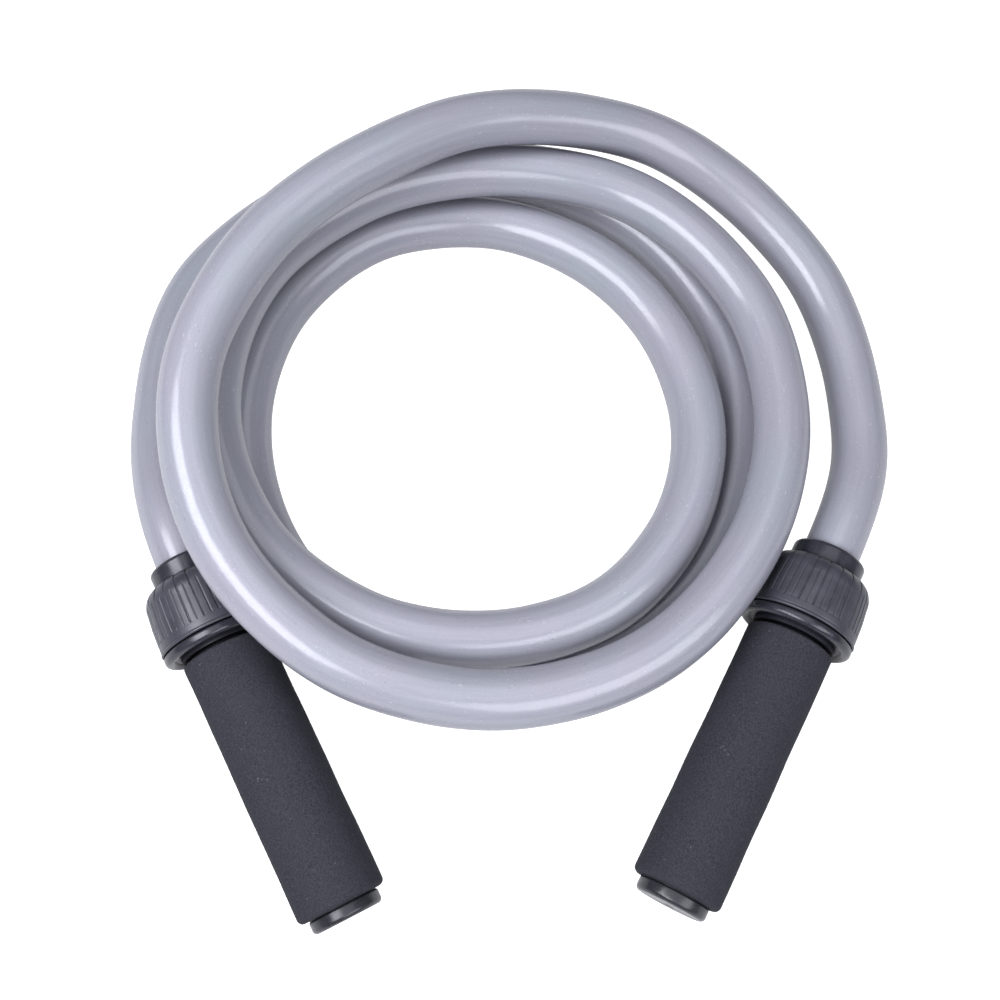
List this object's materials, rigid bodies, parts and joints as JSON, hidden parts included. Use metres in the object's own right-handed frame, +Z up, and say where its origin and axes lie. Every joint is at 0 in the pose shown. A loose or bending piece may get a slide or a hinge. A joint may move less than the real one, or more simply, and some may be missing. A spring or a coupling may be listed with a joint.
{
  "type": "weighted jump rope",
  "caption": "Heavy jump rope: a thick flexible cord laid in a coil, with foam-gripped handles that spin on ball bearings at its ends.",
  "frame": {"origin": "on the floor, under the middle of the coiled rope's bounding box", "axes": "+Z up, -Y the way the handles point, +X towards the right handle"},
  "size_m": [0.3517, 0.3839, 0.1114],
  "materials": {
    "rope": "satin",
    "foam": "matte closed-cell foam",
    "black_plastic": "satin moulded",
    "gloss_plastic": "glossy",
    "steel": "ground",
    "cage_brass": "pressed"
  },
  "bodies": {
    "coil": {"rope_coil": "rope"},
    "right_rope_end": {"right_rope_tail": "rope", "right_rope_socket": "black_plastic", "right_retaining_pin": "steel", "right_swivel_bolt": "steel", "right_spacer": "steel", "right_bearing_inner_ring": "steel", "right_washer": "steel", "right_lock_nut": "steel"},
    "right_bearing_cage": {"right_ball_cage": "cage_brass", "right_ball_1": "steel", "right_ball_2": "steel", "right_ball_3": "steel", "right_ball_4": "steel", "right_ball_5": "steel", "right_ball_6": "steel", "right_ball_7": "steel"},
    "right_handle": {"right_bearing_outer_ring": "steel", "right_screw_collar": "black_plastic", "right_handle_core": "black_plastic", "right_foam_grip": "foam", "right_end_cap": "gloss_plastic"},
    "left_rope_end": {"left_rope_tail": "rope", "left_rope_socket": "black_plastic", "left_retaining_pin": "steel", "left_swivel_bolt": "steel", "left_spacer": "steel", "left_bearing_inner_ring": "steel", "left_washer": "steel", "left_lock_nut": "steel"},
    "left_bearing_cage": {"left_ball_cage": "cage_brass", "left_ball_1": "steel", "left_ball_2": "steel", "left_ball_3": "steel", "left_ball_4": "steel", "left_ball_5": "steel", "left_ball_6": "steel", "left_ball_7": "steel"},
    "left_handle": {"left_bearing_outer_ring": "steel", "left_screw_collar": "black_plastic", "left_handle_core": "black_plastic", "left_foam_grip": "foam", "left_end_cap": "gloss_plastic"}
  },
  "joints": [
    {"name": "right_rope_end_swing", "type": "hinge", "parent": "coil", "child": "right_rope_end", "pos_m": [0.1629, 0.0264, 0.022], "axis": [0, 0, 1], "range_deg": [0, 35]},
    {"name": "right_handle_spin", "type": "hinge", "parent": "right_rope_end", "child": "right_handle", "pos_m": [0.12123, -0.07278, 0.02613], "axis": [0.4598, 0.887, 0.0436], "continuous": true},
    {"name": "right_cage_spin", "type": "hinge", "parent": "right_rope_end", "child": "right_bearing_cage", "pos_m": [0.12123, -0.07278, 0.02613], "axis": [0.4598, 0.887, 0.0436], "continuous": true},
    {"name": "left_rope_end_swing", "type": "hinge", "parent": "coil", "child": "left_rope_end", "pos_m": [-0.1625, 0.0264, 0.027], "axis": [0, 0, -1], "range_deg": [0, 35]},
    {"name": "left_handle_spin", "type": "hinge", "parent": "left_rope_end", "child": "left_handle", "pos_m": [-0.12222, -0.07778, 0.03116], "axis": [-0.4519, 0.8869, 0.0959], "continuous": true},
    {"name": "left_cage_spin", "type": "hinge", "parent": "left_rope_end", "child": "left_bearing_cage", "pos_m": [-0.12222, -0.07778, 0.03116], "axis": [-0.4519, 0.8869, 0.0959], "continuous": true}
  ],
  "couplings": [
    {"joint": "right_cage_spin", "follows": "right_handle_spin", "ratio": 0.63},
    {"joint": "left_cage_spin", "follows": "left_handle_spin", "ratio": 0.63}
  ]
}
